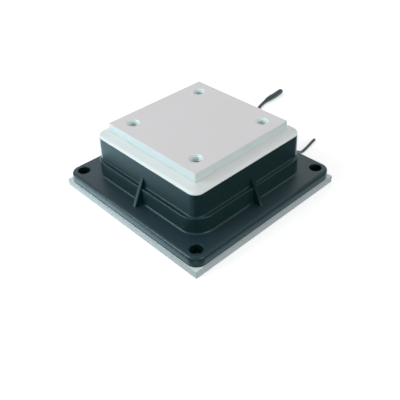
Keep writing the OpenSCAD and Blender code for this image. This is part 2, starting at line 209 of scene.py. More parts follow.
def new_group(name, kind, inputs, outputs):
    """Starts a node group with named sockets, each given as (name, socket type, default)."""
    tree = bpy.data.node_groups.new(name, kind)
    for way, sockets in (("INPUT", inputs), ("OUTPUT", outputs)):
        for label, socket_type, default in sockets:
            made = tree.interface.new_socket(label, in_out=way, socket_type=socket_type)
            if default is not None:
                made.default_value = default
    return tree, tree.nodes.new("NodeGroupInput").outputs, tree.nodes.new("NodeGroupOutput").inputs


def new_shape_tree(name, inputs):
    """Starts a Geometry Nodes tree that puts out one mesh, with a material among its inputs."""
    tree, given, out = new_group(
        name,
        "GeometryNodeTree",
        [*inputs, ("Material", "NodeSocketMaterial", None)],
        [("Mesh", "NodeSocketGeometry", None)],
    )
    tree.is_modifier = True
    return tree, given, out


def put_out(tree, given, out, geometry):
    """Ends a shape tree: sets its material and puts out its mesh."""
    dressed = add_node(
        tree, "GeometryNodeSetMaterial", {"Geometry": geometry, "Material": given["Material"]}
    ).outputs[0]
    tree.links.new(dressed, out["Mesh"])


def run_tree(name, mesh, tree, **values):
    """Runs a shape tree on a mesh and returns its result as a plain mesh object."""
    seed = new_object(name + "_seed", mesh)
    modifier = seed.modifiers.new("shape", "NODES")
    modifier.node_group = tree
    for item in tree.interface.items_tree:
        if item.item_type == "SOCKET" and item.in_out == "INPUT" and item.name in values:
            modifier[item.identifier] = values[item.name]
    made = plain_copy(name, seed)
    seed.modifiers.remove(modifier)
    bpy.data.objects.remove(seed)
    return made


# Geometry Nodes trees


def sweep_tree():
    """Sweeps a closed section round a rounded square. Each point of the section carries its half width,
    height and corner radius."""
    tree, given, out = new_shape_tree(
        "rounded_square_sweep",
        [("Section", "NodeSocketGeometry", None), ("Corner Steps", "NodeSocketInt", CORNER_STEPS)],
    )
    per_corner = maths(tree, "ADD", given["Corner Steps"], 1.0)
    index = add_node(tree, "GeometryNodeInputIndex").outputs[0]
    # A little past the index, so that rounding can't put a corner's first point on the corner before
    past_index = maths(tree, "ADD", index, 0.01)
    corner = maths(tree, "FLOOR", maths(tree, "DIVIDE", past_index, per_corner))
    step = maths(tree, "SUBTRACT", index, maths(tree, "MULTIPLY", corner, per_corner))
    turn = maths(tree, "ADD", corner, maths(tree, "DIVIDE", step, given["Corner Steps"]))

    def direction(quarters, length):
        angle = maths(tree, "MULTIPLY", quarters, QUARTER)
        return add_node(
            tree,
            "ShaderNodeCombineXYZ",
            {
                0: maths(tree, "MULTIPLY", maths(tree, "COSINE", angle), length),
                1: maths(tree, "MULTIPLY", maths(tree, "SINE", angle), length),
            },
        ).outputs[0]

    path = add_node(
        tree,
        "GeometryNodeCurvePrimitiveCircle",
        {"Resolution": maths(tree, "MULTIPLY", per_corner, SIDES), "Radius": 1.0},
        mode="RADIUS",
    ).outputs[0]
    for label, vector in (
        ("outward", direction(turn, 1.0)),
        ("to_corner", direction(maths(tree, "ADD", corner, 0.5), math.sqrt(2.0))),
    ):
        path = add_node(
            tree,
            "GeometryNodeStoreNamedAttribute",
            {"Geometry": path, "Name": label, "Value": vector},
            data_type="FLOAT_VECTOR",
            domain="POINT",
        ).outputs[0]
    section = add_node(tree, "GeometryNodeMeshToCurve", {0: given["Section"]}).outputs[0]
    swept = add_node(tree, "GeometryNodeCurveToMesh", {"Curve": path, "Profile Curve": section}).outputs[0]

    def attribute(label, kind):
        return add_node(
            tree, "GeometryNodeInputNamedAttribute", {"Name": label}, data_type=kind
        ).outputs["Attribute"]

    def scaled(vector, factor):
        return add_node(
            tree, "ShaderNodeVectorMath", {0: vector, "Scale": factor}, operation="SCALE"
        ).outputs[0]

    half = attribute("half", "FLOAT")
    radius = attribute("corner", "FLOAT")
    centre = scaled(attribute("to_corner", "FLOAT_VECTOR"), maths(tree, "SUBTRACT", half, radius))
    reach = scaled(attribute("outward", "FLOAT_VECTOR"), radius)
    plan = add_node(tree, "ShaderNodeVectorMath", {0: centre, 1: reach}, operation="ADD").outputs[0]
    rise = add_node(tree, "ShaderNodeCombineXYZ", {2: attribute("height", "FLOAT")}).outputs[0]
    place = add_node(tree, "ShaderNodeVectorMath", {0: plan, 1: rise}, operation="ADD").outputs[0]
    shaped = add_node(tree, "GeometryNodeSetPosition", {"Geometry": swept, "Position": place}).outputs[0]
    for label in ("half", "corner", "height", "outward", "to_corner"):
        shaped = add_node(
            tree, "GeometryNodeRemoveAttribute", {"Geometry": shaped, "Name": label}
        ).outputs[0]
    put_out(tree, given, out, shaped)
    return tree


def ring_tree():
    """Repeats a shape round the vertical axis at equal turns."""
    tree, given, out = new_shape_tree(
        "repeat_round_axis", [("Shape", "NodeSocketGeometry", None), ("Count", "NodeSocketInt", SIDES)]
    )
    points = add_node(tree, "GeometryNodePoints", {"Count": given["Count"]}).outputs[0]
    index = add_node(tree, "GeometryNodeInputIndex").outputs[0]
    angle = maths(tree, "DIVIDE", maths(tree, "MULTIPLY", index, 2 * math.pi), given["Count"])
    turn = add_node(tree, "ShaderNodeCombineXYZ", {2: angle}).outputs[0]
    placed = add_node(
        tree,
        "GeometryNodeInstanceOnPoints",
        {"Points": points, "Instance": given["Shape"], "Rotation": turn},
    ).outputs[0]
    put_out(tree, given, out, add_node(tree, "GeometryNodeRealizeInstances", {0: placed}).outputs[0])
    return tree


def thread_tree():
    """Winds a thread's ridge down a bore and repeats it at each point that it is given."""
    tree, given, out = new_shape_tree(
        "bore_threads",
        [
            ("Bores", "NodeSocketGeometry", None),
            ("Bore Radius", "NodeSocketFloat", TAP_R * MM),
            ("Pitch", "NodeSocketFloat", THREAD_PITCH * MM),
            ("Depth", "NodeSocketFloat", THREAD_DEPTH * MM),
            ("Turns", "NodeSocketFloat", 10.0),
            ("Steps", "NodeSocketInt", THREAD_STEPS),
        ],
    )
    helix = add_node(
        tree,
        "GeometryNodeCurveSpiral",
        {
            "Resolution": given["Steps"],
            "Rotations": given["Turns"],
            "Start Radius": given["Bore Radius"],
            "End Radius": given["Bore Radius"],
            "Height": maths(tree, "MULTIPLY", given["Turns"], given["Pitch"]),
        },
    ).outputs[0]
    helix = add_node(tree, "GeometryNodeSetCurveNormal", {"Curve": helix}, mode="Z_UP").outputs[0]
    flank = maths(tree, "MULTIPLY", given["Pitch"], THREAD_FLANK)
    # Half of the ridge's width lies inside the bore's wall
    ridge = add_node(
        tree,
        "GeometryNodeCurvePrimitiveQuadrilateral",
        {
            "Width": maths(tree, "MULTIPLY", given["Depth"], 2.0),
            "Bottom Height": flank,
            "Top Height": flank,
        },
        mode="KITE",
    ).outputs[0]
    swept = add_node(
        tree, "GeometryNodeCurveToMesh", {"Curve": helix, "Profile Curve": ridge, "Fill Caps": True}
    ).outputs[0]
    placed = add_node(
        tree, "GeometryNodeInstanceOnPoints", {"Points": given["Bores"], "Instance": swept}
    ).outputs[0]
    put_out(tree, given, out, add_node(tree, "GeometryNodeRealizeInstances", {0: placed}).outputs[0])
    return tree


SWEEP = sweep_tree()
RING = ring_tree()
THREADS = thread_tree()


# Shader groups


# Scales of the pits and of the broad bands, as shares of the grain's and the lines' scales
PIT_SHARE = 0.6
BAND_SHARE = 0.12


def grain_group():
    """Fine grain of a moulded or blasted surface: a height, and a mottle from 0 to 1."""
    tree, given, out = new_group(
        "surface_grain",
        "ShaderNodeTree",
        [
            ("Vector", "NodeSocketVector", None),
            ("Grain Scale", "NodeSocketFloat", 2000.0),
            ("Mottle Scale", "NodeSocketFloat", 60.0),
        ],
        [("Height", "NodeSocketFloat", None), ("Mottle", "NodeSocketFloat", None)],
    )
    fine = add_node(
        tree,
        "ShaderNodeTexNoise",
        {"Vector": given["Vector"], "Scale": given["Grain Scale"], "Detail": 3.0, "Roughness": 0.6},
    )
    pits = add_node(
        tree,
        "ShaderNodeTexVoronoi",
        {"Vector": given["Vector"], "Scale": maths(tree, "MULTIPLY", given["Grain Scale"], PIT_SHARE)},
        feature="SMOOTH_F1",
    )
    broad = add_node(
        tree,
        "ShaderNodeTexNoise",
        {"Vector": given["Vector"], "Scale": given["Mottle Scale"], "Detail": 4.0, "Roughness": 0.55},
    )
    tree.links.new(mean(tree, fine.outputs["Fac"], pits.outputs["Distance"]), out["Height"])
    tree.links.new(broad.outputs["Fac"], out["Mottle"])
    return tree


def milling_group():
    """Fine tool lines of a machined face that run along the vector's X."""
    tree, given, out = new_group(
        "tool_lines",
        "ShaderNodeTree",
        [
            ("Vector", "NodeSocketVector", None),
            ("Line Scale", "NodeSocketFloat", 1800.0),
            ("Stretch", "NodeSocketFloat", 0.02),
        ],
        [("Height", "NodeSocketFloat", None), ("Streak", "NodeSocketFloat", None)],
    )
    parts = add_node(tree, "ShaderNodeSeparateXYZ", {0: given["Vector"]}).outputs
    drawn = add_node(
        tree,
        "ShaderNodeCombineXYZ",
        {0: maths(tree, "MULTIPLY", parts[0], given["Stretch"]), 1: parts[1], 2: parts[2]},
    ).outputs[0]
    lines = add_node(
        tree,
        "ShaderNodeTexNoise",
        {"Vector": drawn, "Scale": given["Line Scale"], "Detail": 4.0, "Roughness": 0.65},
    )
    bands = add_node(
        tree,
        "ShaderNodeTexNoise",
        {"Vector": drawn, "Scale": maths(tree, "MULTIPLY", given["Line Scale"], BAND_SHARE), "Detail": 2.0},
    )
    tree.links.new(lines.outputs["Fac"], out["Height"])
    tree.links.new(mean(tree, lines.outputs["Fac"], bands.outputs["Fac"]), out["Streak"])
    return tree


GRAIN = grain_group()
MILLING = milling_group()


# Materials


# Strength of the bumps, and the blasted grain that lies under tool lines
GRAIN_BUMP = 0.5
LINE_BUMP = 0.4
BLAST_SCALE = 4000.0
BLAST_MOTTLE = 45.0
BLAST_SHARE = 0.6


def blank_material(name):
    """A material with an empty tree, its Principled shader and Object coordinates."""
    material = bpy.data.materials.new(name)
    material.use_nodes = True
    tree = material.node_tree
    tree.nodes.clear()
    shader = tree.nodes.new("ShaderNodeBsdfPrincipled")
    output = tree.nodes.new("ShaderNodeOutputMaterial")
    tree.links.new(shader.outputs[0], output.inputs["Surface"])
    place = tree.nodes.new("ShaderNodeTexCoord").outputs["Object"]
    return material, tree, shader, place


def shade_between(tree, factor, dark, light):
    """Mixes two colours by a factor."""
    return add_node(
        tree,
        "ShaderNodeMix",
        {"Factor": factor, 6: (*dark, 1.0), 7: (*light, 1.0)},
        data_type="RGBA",
        clamp_factor=True,
    ).outputs[2]


def ramp(tree, value, levels, span=(0.0, 1.0)):
    """Maps a value from a span to a pair of levels, and holds the levels past its ends."""
    return add_node(
        tree,
        "ShaderNodeMapRange",
        {"Value": value, "From Min": span[0], "From Max": span[1], "To Min": levels[0], "To Max": levels[1]},
    ).outputs[0]


def bump(tree, height, strength, distance):
    """Bump from a height, in metres."""
    return add_node(
        tree, "ShaderNodeBump", {"Height": height, "Strength": strength, "Distance": distance}
    ).outputs[0]


def moulded(name, dark, light, rough, grain_scale, grain_depth, mottle_scale=60.0, **constant):
    """Moulded or cast material with grain and a slow mottle of colour and gloss."""
    material, tree, shader, place = blank_material(name)
    grain = add_node(
        tree,
        "ShaderNodeGroup",
        {"Vector": place, "Grain Scale": grain_scale, "Mottle Scale": mottle_scale},
        node_tree=GRAIN,
    ).outputs
    tree.links.new(shade_between(tree, grain["Mottle"], dark, light), shader.inputs["Base Color"])
    tree.links.new(ramp(tree, grain["Mottle"], rough), shader.inputs["Roughness"])
    tree.links.new(bump(tree, grain["Height"], GRAIN_BUMP, grain_depth), shader.inputs["Normal"])
    for label, value in constant.items():
        shader.inputs[label.replace("_", " ")].default_value = value
    return material


def machined(name, dark, light, rough, line_scale, stretch, line_depth, metallic=1.0):
    """Machined metal with tool lines over a blasted grain."""
    material, tree, shader, place = blank_material(name)
    lines = add_node(
        tree,
        "ShaderNodeGroup",
        {"Vector": place, "Line Scale": line_scale, "Stretch": stretch},
        node_tree=MILLING,
    ).outputs
    grain = add_node(
        tree,
        "ShaderNodeGroup",
        {"Vector": place, "Grain Scale": BLAST_SCALE, "Mottle Scale": BLAST_MOTTLE},
        node_tree=GRAIN,
    ).outputs
    blend = mean(tree, lines["Streak"], grain["Mottle"])
    height = maths(tree, "ADD", lines["Height"], maths(tree, "MULTIPLY", grain["Height"], BLAST_SHARE))
    tree.links.new(shade_between(tree, blend, dark, light), shader.inputs["Base Color"])
    tree.links.new(ramp(tree, lines["Streak"], rough), shader.inputs["Roughness"])
    tree.links.new(bump(tree, height, LINE_BUMP, line_depth), shader.inputs["Normal"])
    shader.inputs["Metallic"].default_value = metallic
    return material


# Materials that show; some of them carry painted light
PLATE_METAL = machined(
    "plate_aluminium", dark=(0.325, 0.345, 0.34), light=(0.405, 0.425, 0.42), rough=(0.42, 0.54),
    line_scale=1500.0, stretch=0.02, line_depth=0.00002, metallic=0.05,
)
# Painted light: the plate's upward faces are the same aluminium as its sides, painted much lighter where
# light falls on them from above
PLATE_TOP_PAINTED_LIGHT = machined(
    "plate_top_painted_light", dark=(0.88, 0.96, 0.96), light=(0.91, 0.98, 0.98), rough=(0.7, 0.8),
    line_scale=1500.0, stretch=0.02, line_depth=0.00002, metallic=0.0,
)
BLOCK_METAL = machined(
    "block_aluminium", dark=(0.72, 0.695, 0.705), light=(0.81, 0.78, 0.79), rough=(0.72, 0.82),
    line_scale=1800.0, stretch=0.05, line_depth=0.00001, metallic=0.3,
)
# Painted light: the block's upright sides are the same aluminium as its top, with the cyan light that falls
# on them painted into their colour
BLOCK_SIDES_PAINTED_LIGHT = moulded(
    "block_sides_painted_light", dark=(0.64, 0.715, 0.715), light=(0.7, 0.775, 0.775), rough=(0.42, 0.55),
    grain_scale=2400.0, grain_depth=0.00002, Metallic=0.2,
)
# Painted highlight: the tapped holes' threads and mouths are the block's aluminium, painted a lighter cyan
# for the light on them
TAPPED_METAL_PAINTED_LIGHT = machined(
    "tapped_aluminium_painted_light", dark=(0.74, 0.83, 0.83), light=(0.82, 0.9, 0.9), rough=(0.4, 0.5),
    line_scale=2500.0, stretch=0.2, line_depth=0.00001, metallic=0.1,
)
FRAME_BLACK = moulded(
    "moulding_black", dark=(0.004, 0.019, 0.021), light=(0.006, 0.024, 0.026), rough=(0.24, 0.32),
    grain_scale=1800.0, grain_depth=0.00003,
    Specular_IOR_Level=0.42, Specular_Tint=(0.75, 0.95, 1.0, 1.0),
)
# Partly painted light: the flange's upward faces have their own rougher grain, and their slightly lighter,
# bluer colour is painted light from above
FLANGE_BLACK_PAINTED_LIGHT = moulded(
    "flange_black_painted_light", dark=(0.005, 0.021, 0.028), light=(0.007, 0.026, 0.034), rough=(0.42, 0.52),
    grain_scale=1800.0, grain_depth=0.00003,
    Specular_IOR_Level=0.58, Specular_Tint=(0.75, 0.95, 1.0, 1.0),
)
COLLAR_WHITE = moulded(
    "collar_white", dark=(0.79, 0.82, 0.81), light=(0.84, 0.86, 0.85), rough=(0.42, 0.52),
    grain_scale=1600.0, grain_depth=0.00002,
)
SCREW_STEEL = machined(
    "screw_zinc", dark=(0.45, 0.46, 0.47), light=(0.6, 0.6, 0.6), rough=(0.25, 0.4),
    line_scale=2500.0, stretch=0.3, line_depth=0.00001,
)
LEAD_RED = moulded(
    "lead_red", dark=(0.24, 0.016, 0.012), light=(0.33, 0.024, 0.018), rough=(0.38, 0.5),
    grain_scale=2500.0, grain_depth=0.00002, mottle_scale=150.0,
)
LEAD_BLACK = moulded(
    "lead_black", dark=(0.016, 0.026, 0.026), light=(0.028, 0.04, 0.04), rough=(0.4, 0.52),
    grain_scale=2500.0, grain_depth=0.00002, mottle_scale=150.0,
)
SHRINK_BLACK = moulded(
    "shrink_black", dark=(0.01, 0.024, 0.025), light=(0.018, 0.038, 0.039), rough=(0.36, 0.5),
    grain_scale=1200.0, grain_depth=0.00006, mottle_scale=220.0,
)

# Finishes of the inner pieces
SLEEVE_IVORY = moulded(
    "sleeve_ivory", dark=(0.68, 0.65, 0.55), light=(0.75, 0.72, 0.62), rough=(0.45, 0.55),
    grain_scale=2000.0, grain_depth=0.00002,
)
GREASE_PASTE = moulded(
    "grease_paste", dark=(0.75, 0.75, 0.74), light=(0.82, 0.82, 0.81), rough=(0.3, 0.5),
    grain_scale=900.0, grain_depth=0.00004,
)
CHIP_CERAMIC = moulded(
    "chip_ceramic", dark=(0.8, 0.79, 0.75), light=(0.86, 0.85, 0.82), rough=(0.5, 0.62),
    grain_scale=3000.0, grain_depth=0.00001,
)
BRIDGE_COPPER = machined(
    "bridge_copper", dark=(0.5, 0.24, 0.1), light=(0.66, 0.34, 0.17), rough=(0.28, 0.42),
    line_scale=2600.0, stretch=0.1, line_depth=0.00001,
)
LEG_N = moulded(
    "leg_n", dark=(0.16, 0.165, 0.18), light=(0.24, 0.245, 0.26), rough=(0.4, 0.55),
    grain_scale=4000.0, grain_depth=0.00002, Metallic=0.8,
)
LEG_P = moulded(
    "leg_p", dark=(0.1, 0.1, 0.105), light=(0.16, 0.16, 0.165), rough=(0.4, 0.55),
    grain_scale=4000.0, grain_depth=0.00002, Metallic=0.8,
)
SEALANT_WHITE = moulded(
    "sealant_white", dark=(0.76, 0.76, 0.75), light=(0.83, 0.83, 0.82), rough=(0.35, 0.5),
    grain_scale=700.0, grain_depth=0.00005,
)
SEALANT_GREY = moulded(
    "sealant_grey", dark=(0.02, 0.022, 0.022), light=(0.035, 0.037, 0.037), rough=(0.4, 0.55),
    grain_scale=900.0, grain_depth=0.00005,
)
SOLDER_TIN = machined(
    "solder_tin", dark=(0.52, 0.52, 0.53), light=(0.68, 0.68, 0.69), rough=(0.2, 0.35),
    line_scale=1500.0, stretch=0.6, line_depth=0.00002,
)
FOAM_CREAM = moulded(
    "foam_cream", dark=(0.6, 0.53, 0.36), light=(0.72, 0.66, 0.5), rough=(0.75, 0.9),
    grain_scale=900.0, grain_depth=0.0002,
)


# Mesh helpers


def rounded_loop(corners, steps):
    """Rounds each corner of a closed outline. A corner is (half, height, corner centre, radius)."""
    loop = []
    for i, (half, height, centre, radius) in enumerate(corners):
        here = Vector((half, height))
        before = Vector(corners[i - 1][:2]) - here
        after = Vector(corners[(i + 1) % len(corners)][:2]) - here
        angle = before.angle(after)
        before.normalize()
        after.normalize()
        reach = radius / math.tan(angle / 2)
        middle = here + (before + after).normalized() * radius / math.sin(angle / 2)
        start = here + before * reach - middle
        sweep = start.angle_signed(here + after * reach - middle)
        for k in range(steps + 1):
            point = middle + Matrix.Rotation(-sweep * k / steps, 2) @ start
            loop.append((point.x, point.y, point.x - centre))
    return loop


def section_mesh(name, loop):
    """Mesh of a closed section whose points carry their half width, height and corner radius."""
    mesh = bpy.data.meshes.new(name)
    count = len(loop)
    points = [(half * MM, 0.0, height * MM) for half, height, _ in loop]
    mesh.from_pydata(points, [(i, (i + 1) % count) for i in range(count)], [])
    for label, column in (("half", 0), ("height", 1), ("corner", 2)):
        made = mesh.attributes.new(label, "FLOAT", "POINT")
        made.data.foreach_set("value", [point[column] * MM for point in loop])
    return mesh


def swept_body(name, corners, edge_steps, material):
    """Body of a rounded square with the given section, its faces outwards."""
    section = section_mesh(name + "_section", rounded_loop(corners, edge_steps))
    made = run_tree(name, section, SWEEP, **{"Corner Steps": CORNER_STEPS, "Material": material})
    outward_normals(made.data)
    return made


def outward_normals(mesh):
    """Turns all faces of a closed mesh outwards."""
    made = bmesh.new()
    made.from_mesh(mesh)
    bmesh.ops.remove_doubles(made, verts=made.verts, dist=MERGE)
    bmesh.ops.recalc_face_normals(made, faces=made.faces)
    made.to_mesh(mesh)
    made.free()


def mesh_from(name, made):
    """Turns a closed bmesh into a mesh with its faces outwards, and frees it."""
    bmesh.ops.recalc_face_normals(made, faces=made.faces)
    mesh = bpy.data.meshes.new(name)
    made.to_mesh(mesh)
    made.free()
    return mesh


def prism(ends):
    """Closed bmesh between two like outlines of (x, y, z) points, with the points of each end."""
    made = bmesh.new()
    sides = [[made.verts.new([value * MM for value in point]) for point in end] for end in ends]
    first, last = sides
    made.faces.new(first)
    made.faces.new(list(reversed(last)))
    for i in range(len(first)):
        j = (i + 1) % len(first)
        made.faces.new((first[j], first[i], last[i], last[j]))
    bmesh.ops.recalc_face_normals(made, faces=made.faces)
    return made, sides


def lathe(name, profile, steps):
    """Closed mesh turned from (radius, height) points about the vertical axis, open ends capped."""
    made = bmesh.new()
    turns = [2 * math.pi * k / steps for k in range(steps)]
    rings = [
        [made.verts.new((radius * MM * math.cos(t), radius * MM * math.sin(t), height * MM)) for t in turns]
        for radius, height in profile
    ]
    for low, high in zip(rings, rings[1:]):
        for k in range(steps):
            made.faces.new((low[k], low[(k + 1) % steps], high[(k + 1) % steps], high[k]))
    made.faces.new(list(reversed(rings[0])))
    made.faces.new(rings[-1])
    return mesh_from(name, made)


def smooth_shading(piece, sharp_deg):
    """Smooth shading that keeps flat faces flat and edges over the given angle sharp."""
    mesh = piece.data
    made = bmesh.new()
    made.from_mesh(mesh)
    for face in made.faces:
        face.smooth = True
    limit = math.radians(sharp_deg)
    for edge in made.edges:
        edge.smooth = len(edge.link_faces) == 2 and edge.calc_face_angle() < limit
    made.to_mesh(mesh)
    made.free()
    weighted = piece.modifiers.new("weighted", "WEIGHTED_NORMAL")
    weighted.keep_sharp = True
    return piece


def cut_and_join(name, body, joined=(), removed=()):
    """Joins shapes to a body and takes others away, and returns a plain mesh object."""
    for operation, tools in (("UNION", joined), ("DIFFERENCE", removed)):
        for tool in tools:
            step = body.modifiers.new(operation.lower(), "BOOLEAN")
            step.operation = operation
            step.solver = "MANIFOLD"
            step.object = tool
    made = plain_copy(name, body)
    for spent in (body, *joined, *removed):
        bpy.data.objects.remove(spent)
    return made


def put_materials(mesh, material, face_materials=()):
    """Covers a mesh with a material, and with each further material the faces that pass its test."""
    mesh.materials.clear()
    mesh.materials.append(material)
    for index, (face_material, covers) in enumerate(face_materials, 1):
        mesh.materials.append(face_material)
        for face in mesh.polygons:
            if covers(face):
                face.material_index = index


def finished(piece, name):
    """Applies what is left on a piece and gives it its own name."""
    made = plain_copy(name, piece)
    bpy.data.objects.remove(piece)
    return made


def dress(piece, body="root", replaces=()):
    """Puts a finished piece on its body and hides the CAD nodes that it stands for."""
    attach(piece, body)
    if replaces:
        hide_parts(*replaces)
    return piece


# Tests for the faces that each further material covers


# How far up a face's normal points: at least on a level face, at most on an upright one and in a hole
LEVEL = 0.99
UPRIGHT = 0.1
IN_HOLE = 0.9


def on_top(face):
    """Tells the faces that look straight up."""
    return face.normal.z > LEVEL


def on_flange(face):
    """Tells the frame's faces that look straight up and lie lower than the plinth's top."""
    return on_top(face) and face.center.z < Z_PLINTH * MM


def on_side(face):
    """Tells the upright outer faces of the cold block."""
    reach = max(abs(face.center.x), abs(face.center.y))
    return reach > JUST_INSIDE_HEAD * MM and abs(face.normal.z) < UPRIGHT


def in_tapped_hole(face):
    """Tells the faces of the tapped holes and their mouths."""
    reach = math.hypot(abs(face.center.x) - TAP_HALF * MM, abs(face.center.y) - TAP_HALF * MM)
    return reach < (TAP_R + TAP_MOUTH) * MM and face.normal.z < IN_HOLE


# Moulded frame


def moulded_frame():
    """Frame with its hollow under the flange, and a boss there round each mounting hole."""
    hollow_half = FLANGE_HALF - WALL
    hollow_roof = Z_FLANGE - WALL
    corners = [
        (TOWER_HALF, Z_TOWER, TOWER_CENTRE, TOWER_EDGE_R),
        (SHOULDER_HALF, Z_SHOULDER, TOWER_CENTRE, SHOULDER_R),
        (PLINTH_HALF, Z_PLINTH, PLINTH_CENTRE, PLINTH_R),
        (FOOT_HALF, Z_FLANGE, PLINTH_CENTRE, FOOT_R),
        (FLANGE_HALF, Z_FLANGE, FLANGE_CENTRE, FLANGE_R),
        (FLANGE_HALF, Z_PLATE, FLANGE_CENTRE, FLANGE_FOOT_R),
        (hollow_half, Z_PLATE, FLANGE_CENTRE, HIDDEN_R),
        (hollow_half, hollow_roof, FLANGE_CENTRE, HOLLOW_R),
        (TOWER_HALF, hollow_roof, TOWER_CENTRE, HOLLOW_R),
        (TOWER_HALF, Z_PLATE, TOWER_CENTRE, HIDDEN_R),
        (CAVITY_HALF, Z_PLATE, TOWER_CENTRE, HIDDEN_R),
        (CAVITY_HALF, Z_TOWER, TOWER_CENTRE, TOWER_EDGE_R),
    ]
    body = swept_body("frame_body", corners, FRAME_EDGE_STEPS, FRAME_BLACK)
    gussets, bores, bosses = [
        run_tree(mesh.name + "_ring", mesh, RING, Count=SIDES, Material=FRAME_BLACK)
        for mesh in (gusset_mesh(), bore_mesh(), boss_mesh())
    ]
    slots = [new_object("slot_tool", slot_mesh(side * SLOT_X)) for side in (-1, 1)]
    made = cut_and_join("frame_moulding", body, [gussets, bosses], [bores, *slots])
    put_materials(made.data, FRAME_BLACK, [(FLANGE_BLACK_PAINTED_LIGHT, on_flange)])
    smooth_shading(made, sharp_deg=32)
    return dress(finished(made, "moulded_frame"), replaces=["frame"])


def gusset_mesh():
    """Triangular gusset on the +X side, with its outer edges rounded."""
    wall = TOWER_HALF + (SHOULDER_HALF - TOWER_HALF) * (Z_TOWER - GUSSET_TOP) / (Z_TOWER - Z_SHOULDER)
    foot = Z_FLANGE - GUSSET_SINK
    toe = Z_FLANGE + GUSSET_TOE
    outline = [
        (GUSSET_ROOT, foot), (GUSSET_REACH, foot), (GUSSET_REACH, toe), (wall, GUSSET_TOP),
        (GUSSET_ROOT, GUSSET_TOP),
    ]
    made, sides = prism([[(x, y * GUSSET_T / 2, z) for x, z in outline] for y in (-1, 1)])
    slope = [made.edges.get(side[2:4]) for side in sides]
    bmesh.ops.bevel(
        made, geom=slope, offset=GUSSET_R * MM, segments=GUSSET_EDGE_STEPS, profile=0.5, affect="EDGES"
    )
    return mesh_from("gusset", made)


def at_mount(mesh):
    """Moves a mesh from the axis to a mounting hole."""
    mesh.transform(Matrix.Translation((MOUNT_HALF * MM, MOUNT_HALF * MM, 0.0)))
    return mesh


def bore_mesh():
    """Tool that cuts a mounting hole with a rounded mouth."""
    turns = [k * QUARTER / MOUTH_STEPS for k in range(MOUTH_STEPS)]
    mouth = [
        (MOUNT_R + MOUTH_R * (1 - math.cos(t)), Z_FLANGE - MOUTH_R * (1 - math.sin(t))) for t in turns
    ]
    wide = mouth[-1][0] + MOUTH_FLARE
    ends = [(wide, Z_FLANGE + MOUTH_LIFT), (wide, Z_FLANGE + HOLE_PAST)]
    return at_mount(lathe("bore", [(MOUNT_R, Z_PLATE - HOLE_PAST), *mouth, *ends], HOLE_STEPS))


def boss_mesh():
    """Boss round a mounting hole, from the plate up into the flange."""
    outer = MOUNT_R + WALL
    return at_mount(lathe("boss", [(outer, Z_PLATE), (outer, Z_FLANGE - WALL / 2)], HOLE_STEPS))


def slot_mesh(x):
    """Tool that cuts a lead's slot through the flange on the +Y side."""
    r = SLOT_W / 2
    turns = [k * math.pi / SLOT_STEPS for k in range(SLOT_STEPS + 1)]
    outline = [(-r, Z_PLATE - SLOT_PAST), (r, Z_PLATE - SLOT_PAST)]
    outline += [(r * math.cos(t), Z_LEAD + r * math.sin(t)) for t in turns]
    reach = (CAVITY_HALF - SLOT_PAST, FLANGE_HALF + SLOT_PAST)
    made, _ = prism([[(x + across, y, z) for across, z in outline] for y in reach])
    return mesh_from("slot_tool", made)


# Insulating collar


def white_collar():
    """Collar whose skirt fits in the tower and whose top slopes down to a rounded edge."""
    opening_centre = OPENING_HALF - OPENING_CORNER_R
    corners = [
        (TOWER_HALF, Z_TOWER, TOWER_CENTRE, COLLAR_FOOT_R),
        (SKIRT_HALF, Z_TOWER, TOWER_CENTRE, HIDDEN_R),
        (SKIRT_HALF, Z_HEAD, TOWER_CENTRE, SKIRT_R),
        (OPENING_HALF, Z_HEAD, opening_centre, SKIRT_R),
        (OPENING_HALF, Z_COLLAR, opening_centre, LIP_R),
        (TOWER_CENTRE, Z_COLLAR, TOWER_CENTRE - CREST_CORNER_R, CREST_R),
        (TOWER_HALF, Z_COLLAR_EDGE, TOWER_CENTRE, COLLAR_R),
    ]
    body = swept_body("collar_body", corners, COLLAR_EDGE_STEPS, COLLAR_WHITE)
    smooth_shading(body, sharp_deg=40)
    return dress(finished(body, "white_collar"), replaces=["insulating_collar"])


# Machined pieces


def machined_copy(node, name, material, sharp_deg=20, face_materials=()):
    """Merged copy of a CAD node, so that its bores shade smoothly and its edges stay crisp.
    Each further face material comes with the test for the faces that it covers; some of them carry painted
    light."""
    mesh = nodes[node].data.copy()
    made = bmesh.new()
    made.from_mesh(mesh)
    bmesh.ops.remove_doubles(made, verts=made.verts, dist=MERGE)
    bmesh.ops.dissolve_limit(
        made, angle_limit=math.radians(FLAT_DEG), verts=made.verts, edges=made.edges
    )
    made.to_mesh(mesh)
    made.free()
    put_materials(mesh, material, face_materials)
    body = smooth_shading(new_object(name + "_raw", mesh), sharp_deg)
    return dress(finished(body, name), replaces=[node])


def bore_threads():
    """Threads in the tapped holes of the cold face."""
    foot = Z_TOP - TAP_DEPTH + THREAD_START
    places = [(x * TAP_HALF * MM, y * TAP_HALF * MM, foot * MM) for x in (-1, 1) for y in (-1, 1)]
    mesh = bpy.data.meshes.new("bores")
    mesh.from_pydata(places, [], [])
    made = run_tree("bore_threads", mesh, THREADS, **{
        "Bore Radius": TAP_R * MM,
        "Pitch": THREAD_PITCH * MM,
        "Depth": THREAD_DEPTH * MM,
        "Turns": (TAP_DEPTH - THREAD_SPARE) / THREAD_PITCH,
        "Steps": THREAD_STEPS,
        "Material": TAPPED_METAL_PAINTED_LIGHT,
    })
    outward_normals(made.data)
    smooth_shading(made, sharp_deg=30)
    return dress(finished(made, "thread_ridges"))


# Leads


